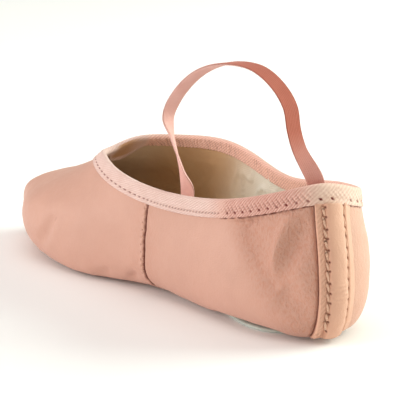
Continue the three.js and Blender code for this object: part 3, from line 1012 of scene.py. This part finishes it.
def elastic_strap(material):
    line, ways = elastic_line(ELASTIC_COLUMNS)
    tangent = unit(np.gradient(line, axis=0))
    ways = unit(ways - tangent * np.sum(ways * tangent, axis=1, keepdims=True))
    flat = unit(np.cross(tangent, ways))
    side = np.linspace(-1, 1, ELASTIC_ROWS)
    edge = round_edge(side, 0.9, least=0.02)
    thick = ELASTIC / 2 * edge - RIB_RISE + RIB_RISE * np.cos(side * np.pi * ELASTIC_RIBS) * edge
    aside = np.concatenate([side, side[::-1]]) * ELASTIC_WIDTH / 2
    out = np.concatenate([thick, -thick[::-1]])
    points = line[:, None] + ways[:, None] * aside[:, None] + flat[:, None] * out[:, None]
    along = sums(step_lengths(line))
    across = np.append(np.concatenate([side, 2 - side[::-1]]), 3.0) * ELASTIC_WIDTH / 2
    share = np.linspace(0, 1, ELASTIC_COLUMNS)[:, None]
    # painted shade: the far face of the back leg is darker and redder, less so near its foot
    shaded_back_leg = ramp(share, 0.35, 0.55) * (1 - 0.55 * ramp(share, 0.72, 0.84))
    # under marks where that painted shade lies
    under = shaded_back_leg * np.repeat([0.0, 1.0], len(side))
    uv = (np.append(along, along[-1]) * MM, across * MM)
    mesh = grid_mesh("elastic_strap", points, ring=False, uv=uv, values={"under": under})
    add_piece(mesh, material, "elastic_strap")


# Materials
def linear(red, green, blue):
    """A screen colour, 0 to 255, as Blender's linear colour."""
    def channel(value):
        value /= 255
        return value / 12.92 if value <= 0.04045 else ((value + 0.055) / 1.055) ** 2.4
    return (channel(red), channel(green), channel(blue), 1.0)


class Shader:
    """A material whose nodes are added by name."""

    def __init__(self, name, roughness, specular, sheen=0.0):
        self.material = bpy.data.materials.new(name)
        self.material.use_nodes = True
        self.nodes = self.material.node_tree.nodes
        self.links = self.material.node_tree.links
        self.surface = self.nodes["Principled BSDF"]
        self.surface.inputs["Roughness"].default_value = roughness
        self.surface.inputs["Specular IOR Level"].default_value = specular
        self.surface.inputs["Sheen Weight"].default_value = sheen

    def plug(self, node, inputs):
        """Sets a node's inputs to numbers or colours, or links them to nodes; None leaves one alone."""
        for key, value in inputs.items():
            if isinstance(value, bpy.types.NodeSocket):
                self.links.new(value, node.inputs[key])
            elif value is not None:
                node.inputs[key].default_value = value

    def add(self, kind, output, inputs=None, **settings):
        """Adds a node and gives one of its outputs."""
        node = self.nodes.new(kind)
        for key, value in settings.items():
            setattr(node, key, value)
        self.plug(node, inputs or {})
        return node.outputs[output]

    def where(self):
        return self.add("ShaderNodeTexCoord", "Object")

    def cloth(self):
        return self.add("ShaderNodeUVMap", "UV", uv_map="cloth")

    def number(self, name):
        return self.add("ShaderNodeAttribute", "Fac", attribute_name=name)

    def scaled(self, vector, scale, turn=(0, 0, 0)):
        return self.add("ShaderNodeMapping", 0, {"Vector": vector, "Scale": scale, "Rotation": turn})

    def noise(self, vector, scale, detail=3.0, roughness=0.55):
        values = {"Vector": vector, "Scale": scale, "Detail": detail, "Roughness": roughness}
        return self.add("ShaderNodeTexNoise", "Fac", values)

    def tone(self, vector, scale, detail=3.0, high=0.7):
        """Soft patches, for a colour that varies a little over the piece."""
        return self.spread(self.noise(vector, scale, detail), 0.3, high)

    def cells(self, vector, scale):
        return self.add("ShaderNodeTexVoronoi", "Distance", {"Vector": vector, "Scale": scale})

    def bands(self, vector, scale, distortion):
        values = {"Vector": vector, "Scale": scale, "Distortion": distortion, "Detail": 1.0}
        return self.add("ShaderNodeTexWave", "Fac", values)

    def math(self, operation, first, second):
        return self.add("ShaderNodeMath", 0, {0: first, 1: second}, operation=operation)

    def spread(self, value, low, high, to_low=0.0, to_high=1.0):
        values = {"Value": value, "From Min": low, "From Max": high, "To Min": to_low, "To Max": to_high}
        return self.add("ShaderNodeMapRange", 0, values)

    def blend(self, share, first, second):
        return self.add("ShaderNodeMix", 2, {0: share, 6: first, 7: second}, data_type="RGBA")

    def bump(self, height, strength, distance, normal=None):
        values = {"Height": height, "Strength": strength, "Distance": distance, "Normal": normal}
        return self.add("ShaderNodeBump", 0, values)

    def finish(self, colour, normal=None, roughness=None):
        self.plug(self.surface, {"Base Color": colour, "Normal": normal, "Roughness": roughness})
        return self.material


def leather_material():
    """Soft grained leather: painted warm light at the back, finely pebbled, wrinkled where worn, with a
    darker, redder tint there that is partly wear and partly painted shade, and painted shade in crevices.
    """
    shader = Shader("pink_leather", 0.5, specular=0.35, sheen=0.06)
    where = shader.where()
    # painted warm light at the back of the heel and on the strip
    painted_warm_light = shader.number("painted_warm_light")

    def tinted(*shares):
        pink, warm_lit = (tuple(part * share for part, share in zip(colour, shares)) + (1.0,)
                          for colour in (linear(204, 157, 139), linear(214, 165, 140)))
        return shader.blend(painted_warm_light, pink, warm_lit)

    skin = shader.blend(shader.tone(where, 55.0), tinted(1.0, 1.0, 1.0), tinted(1.06, 1.06, 1.06))
    wear_and_shade = shader.number("wear_and_shade")
    wrinkles = shader.noise(shader.scaled(where, (1150.0, 1150.0, 640.0)), 1.0, detail=4.0, roughness=0.6)
    lines = shader.math("MULTIPLY", wrinkles, shader.spread(wear_and_shade, 0.0, 1.0, 0.12, 1.0))
    # a darker, redder tint along the wrinkles, partly wear and partly painted shade
    creased = shader.math("MULTIPLY", shader.spread(wrinkles, 0.56, 0.38, 0.14, 0.55), wear_and_shade)
    skin = shader.blend(creased, skin, tinted(0.95, 0.70, 0.56))
    # painted shade in crevices, holes and creases
    skin = shader.blend(shader.spread(shader.number("painted_shade"), 0.15, 0.85), skin, linear(108, 48, 32))
    pebbles = shader.bump(shader.cells(where, 1500.0), 0.22, 0.00025)
    normal = shader.bump(lines, 1.0, 0.0008, pebbles)
    rough = shader.spread(shader.noise(where, 420.0), 0.3, 0.7, 0.44, 0.60)
    return shader.finish(skin, normal, rough)


def tape_material():
    """Cotton twill tape: fine slanted ribs, in two directions where gathered, with a redder painted shade
    there, painted light on the inner leg, and painted shade in the holes, folds and loose flap.
    """
    shader = Shader("cotton_tape", 0.85, specular=0.2, sheen=0.12)
    cloth = shader.cloth()
    gather = shader.number("gather")
    painted_red_shade = shader.number("painted_red_shade")

    def slanted(degrees, scale, distortion):
        turned = shader.scaled(cloth, (1.0, 1.0, 1.0), (0, 0, math.radians(degrees)))
        return shader.bands(turned, scale, distortion)

    twill = shader.blend(gather, slanted(-62, 300.0, 1.0), slanted(-48, 260.0, 2.0))
    threads = shader.noise(shader.scaled(cloth, (2600.0, 1500.0, 1.0)), 1.0, detail=2.0)
    weave = shader.math("ADD", twill, threads)
    tone = shader.tone(shader.where(), 120.0)
    smooth_tape = shader.blend(tone, linear(222, 191, 181), linear(231, 204, 195))
    # lit copy of the tape, lighter and yellower, as painted light at the heel
    lit_heel_tape = shader.blend(tone, linear(226, 194, 176), linear(236, 206, 189))
    # shaded copy of the tape, darker and redder, for the gathered sides
    shaded_gathered_tape = shader.blend(tone, linear(218, 172, 158), linear(228, 186, 173))
    colour = shader.blend(gather, smooth_tape, lit_heel_tape)
    # redder painted shade where the tape is gathered
    colour = shader.blend(painted_red_shade, colour, shaded_gathered_tape)
    # painted light on the inner leg
    colour = shader.blend(shader.number("painted_inner_light"), colour, linear(253, 203, 185))
    # painted brown shade on the loose flap
    colour = shader.blend(shader.number("painted_brown_shade"), colour, linear(200, 156, 118))
    rib_dark = shader.spread(weave, 0.45, 1.35, 0.45, 0.0)
    # rib lines darker where the painted shade is stronger
    rib_share = shader.math("MULTIPLY", rib_dark, shader.spread(painted_red_shade, 0.0, 1.0, 0.55, 1.5))
    colour = shader.blend(rib_share, colour, linear(188, 120, 104))
    # painted shade in the holes and folds
    colour = shader.blend(shader.spread(shader.number("painted_shade"), 0.1, 0.9), colour, linear(116, 44, 40))
    return shader.finish(colour, shader.bump(weave, 0.45, 0.00025))


def lining_material():
    """Cotton lining, finely woven: cream at the heel, with painted brown shade deeper inside towards the toe.
    """
    shader = Shader("cotton_lining", 0.92, specular=0.15)
    where = shader.where()
    warp = shader.bands(shader.scaled(where, (1.0, 0.2, 0.2)), 420.0, 0.8)
    weft = shader.bands(shader.scaled(where, (0.2, 0.2, 1.0), (0, math.radians(90), 0)), 420.0, 0.8)
    weave = shader.math("ADD", warp, weft)
    tone = shader.tone(where, 40.0, detail=4.0)
    cream = shader.blend(tone, linear(226, 217, 201), linear(236, 231, 219))
    # painted brown shade, for deeper inside
    painted_brown_shade = shader.blend(tone, linear(195, 154, 115), linear(210, 172, 133))
    colour = shader.blend(shader.number("painted_brown_shade"), cream, painted_brown_shade)
    return shader.finish(colour, shader.bump(weave, 0.3, 0.0002))


def suede_material():
    """Grey split suede with a short nap, darker in brushed streaks."""
    shader = Shader("suede_sole", 0.96, specular=0.12, sheen=0.3)
    where = shader.where()
    nap = shader.noise(where, 1800.0, detail=5.0, roughness=0.7)
    brushed = shader.noise(shader.scaled(where, (160.0, 520.0, 520.0)), 1.0, detail=4.0)
    tone = shader.tone(where, 42.0, detail=4.0, high=0.72)
    colour = shader.blend(tone, linear(204, 212, 202), linear(218, 225, 216))
    colour = shader.blend(shader.spread(brushed, 0.35, 0.7, 0.35, 0.0), colour, linear(150, 160, 150))
    return shader.finish(colour, shader.bump(nap, 0.5, 0.0004))


def elastic_material():
    """Ribbed elastic webbing with a fine cross weave, and painted shade, darker and redder, on one face of the
    back leg.
    """
    shader = Shader("elastic_weave", 0.75, specular=0.25, sheen=0.12)
    where = shader.where()
    picks = shader.bands(shader.scaled(shader.cloth(), (1.0, 0.12, 1.0)), 520.0, 0.5)
    weave = shader.math("ADD", picks, shader.noise(where, 1500.0))
    tone = shader.tone(where, 90.0)
    upper_face = shader.blend(tone, linear(226, 173, 163), linear(234, 186, 177))
    # painted shade on one face of the back leg
    shaded_face = shader.blend(tone, linear(178, 98, 79), linear(188, 110, 91))
    colour = shader.blend(shader.number("under"), upper_face, shaded_face)
    colour = shader.blend(shader.spread(weave, 0.4, 1.5, 0.08, 0.0), colour, linear(184, 112, 94))
    return shader.finish(colour, shader.bump(weave, 0.15, 0.0002))


def thread_material(name, colour):
    """Twisted sewing thread."""
    shader = Shader(name, 0.7, specular=0.3)
    twist = shader.noise(shader.where(), 2400.0, detail=2.0)
    darker = tuple(part * 0.8 for part in colour[:3]) + (1.0,)
    skin = shader.blend(shader.spread(twist, 0.35, 0.65), darker, colour)
    return shader.finish(skin, shader.bump(twist, 0.4, 0.0002))


# Stage, light and camera
VIEW_TURN = 32.85         # degrees from straight behind the heel towards the shoe's left
VIEW_RISE = 14.26
VIEW_ROLL = -2.25
VIEW_PLACE = (-575.5, 437.0, 241.2)
VIEW_LENS = 181.9         # millimetres on a sensor of this width
SENSOR = 36.0
FLOOR_HALF = 4.0          # metres


def view_axes():
    """The camera's right, up and backward ways."""
    turn = math.radians(VIEW_TURN)
    rise = math.radians(VIEW_RISE)
    roll = math.radians(VIEW_ROLL)
    back = Vector((-math.cos(turn) * math.cos(rise), math.sin(turn) * math.cos(rise), math.sin(rise)))
    right = Vector((-math.sin(turn), -math.cos(turn), 0))
    up = back.cross(right)
    return (right * math.cos(roll) + up * math.sin(roll), up * math.cos(roll) - right * math.sin(roll), back)


def add_camera():
    data = bpy.data.cameras.new("camera")
    data.lens = VIEW_LENS
    data.sensor_width = SENSOR
    data.clip_start = 0.01
    camera = add_object("camera", data)
    turned = Matrix(view_axes()).transposed().to_4x4()
    camera.matrix_world = Matrix.Translation(Vector(place(VIEW_PLACE))) @ turned
    bpy.context.scene.camera = camera


# Softboxes: degrees from the camera's side of the shoe, to the left positive, and above the floor; distance
# and size in metres, power in watts, and colour
SOFTBOXES = (
    ("left_softbox", 84, 12, 1.6, 1.5, 24.0, (1.0, 0.98, 0.97)),
    ("right_softbox", -98, 24, 1.6, 1.2, 34.5, (0.86, 1.0, 0.91)),
    ("top_softbox", 20, 86, 2.0, 2.0, 16.0, (1.0, 1.0, 1.0)),
)
AMBIENT = (1.0, 0.90, 0.80, 1.0)
AMBIENT_STRENGTH = 0.38


def add_softbox(name, turn, rise, distance, size, power, colour):
    right, _, back = view_axes()
    towards = Vector((back.x, back.y, 0)).normalized()
    turn = math.radians(turn)
    rise = math.radians(rise)
    level = towards * math.cos(turn) - right * math.sin(turn)
    level = Vector((level.x, level.y, 0)).normalized()
    way = level * math.cos(rise) + Vector((0, 0, math.sin(rise)))
    data = bpy.data.lights.new(name, "AREA")
    data.size = size
    data.energy = power
    data.color = colour
    light = add_object(name, data)
    light.location = way * distance
    light.rotation_euler = way.to_track_quat("Z", "Y").to_euler()


def add_lights():
    for softbox in SOFTBOXES:
        add_softbox(*softbox)
    world = bpy.data.worlds.new("studio")
    world.use_nodes = True
    sky = world.node_tree.nodes["Background"]
    sky.inputs["Color"].default_value = AMBIENT
    sky.inputs["Strength"].default_value = AMBIENT_STRENGTH
    bpy.context.scene.world = world


def add_floor():
    shader = Shader("floor", 0.9, specular=0.1)
    pale = shader.blend(shader.tone(shader.where(), 3.0), (0.96, 0.96, 0.96, 1), (0.98, 0.98, 0.98, 1))
    corners = [(x * FLOOR_HALF, y * FLOOR_HALF, 0) for x, y in ((-1, -1), (1, -1), (1, 1), (-1, 1))]
    mesh = bpy.data.meshes.new("floor")
    mesh.from_pydata(corners, [], [(0, 1, 2, 3)])
    mesh.materials.append(shader.finish(pale))
    add_object("floor", mesh)


add_camera()
add_lights()
add_floor()
bpy.context.scene.view_settings.view_transform = "Standard"

pink_leather = leather_material()
leather_thread = thread_material("leather_thread", linear(228, 184, 158))
tape_thread = thread_material("tape_thread", linear(244, 216, 204))
grey_thread = thread_material("grey_thread", linear(200, 196, 186))
cotton_lining = lining_material()
suede = suede_material()

upper_leather(pink_leather)
lining(cotton_lining)
collar_binding(tape_material())
collar_stitches(tape_thread)
backstay(pink_leather)
heel_stitches(leather_thread)
seam_stitches(leather_thread)
outsole(suede)
sole_stitches(grey_thread)
insole(cotton_lining)
elastic_strap(elastic_material())
